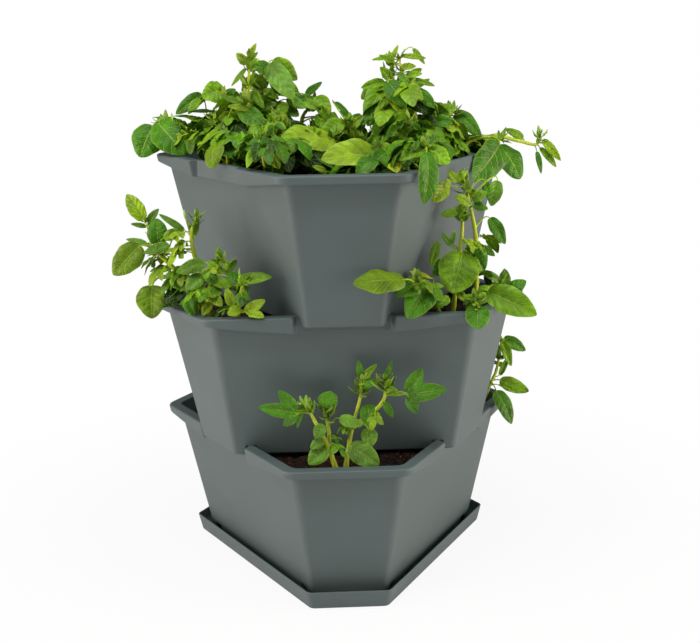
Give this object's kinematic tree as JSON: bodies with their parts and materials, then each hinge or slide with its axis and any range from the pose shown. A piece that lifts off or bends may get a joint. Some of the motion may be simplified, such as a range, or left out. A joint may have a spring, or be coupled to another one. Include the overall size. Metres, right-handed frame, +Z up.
{
  "type": "vertical planter tower",
  "caption": "Stacking planter tower: tapered pots with a truncated-triangle plan, each turned half a turn on the one below so its corners stay open as planting pockets, on a saucer.",
  "frame": {"origin": "centre of the saucer's underside, on the ground", "axes": "+Z up, -Y to the front, where a short side of the lowest and of the highest pot faces; +X to the right seen from the front"},
  "size_m": [0.7238, 0.585, 0.8501],
  "materials": {
    "saucer_plastic": "satin injection-moulded plastic",
    "pot_plastic": "satin injection-moulded plastic",
    "compost": null,
    "stems": null,
    "leaves": null
  },
  "bodies": {
    "saucer": {"saucer": "saucer_plastic"},
    "bottom": {"bottom_tier": "pot_plastic", "bottom_soil": "compost", "bottom_front_plant_stems": "stems", "bottom_front_plant_leaves": "leaves", "bottom_right_plant_stems": "stems", "bottom_right_plant_leaves": "leaves"},
    "middle": {"middle_tier": "pot_plastic", "middle_soil": "compost", "middle_left_plant_stems": "stems", "middle_left_plant_leaves": "leaves", "middle_right_plant_stems": "stems", "middle_right_plant_leaves": "leaves", "middle_back_plant_stems": "stems", "middle_back_plant_leaves": "leaves"},
    "top": {"top_tier": "pot_plastic", "top_soil": "compost", "top_left_plant_stems": "stems", "top_left_plant_leaves": "leaves", "tall_left_plant_stems": "stems", "tall_left_plant_leaves": "leaves", "centre_plant_stems": "stems", "centre_plant_leaves": "leaves", "tall_right_plant_stems": "stems", "tall_right_plant_leaves": "leaves", "top_right_plant_stems": "stems", "top_right_plant_leaves": "leaves"}
  },
  "joints": [
    {"name": "bottom_lift", "type": "slide", "parent": "saucer", "child": "bottom", "axis": [0, 0, 1], "range_m": [0, 0.06]},
    {"name": "middle_lift", "type": "slide", "parent": "bottom", "child": "middle", "axis": [0, 0, 1], "range_m": [0, 0.26]},
    {"name": "top_lift", "type": "slide", "parent": "middle", "child": "top", "axis": [0, 0, 1], "range_m": [0, 0.26]}
  ]
}
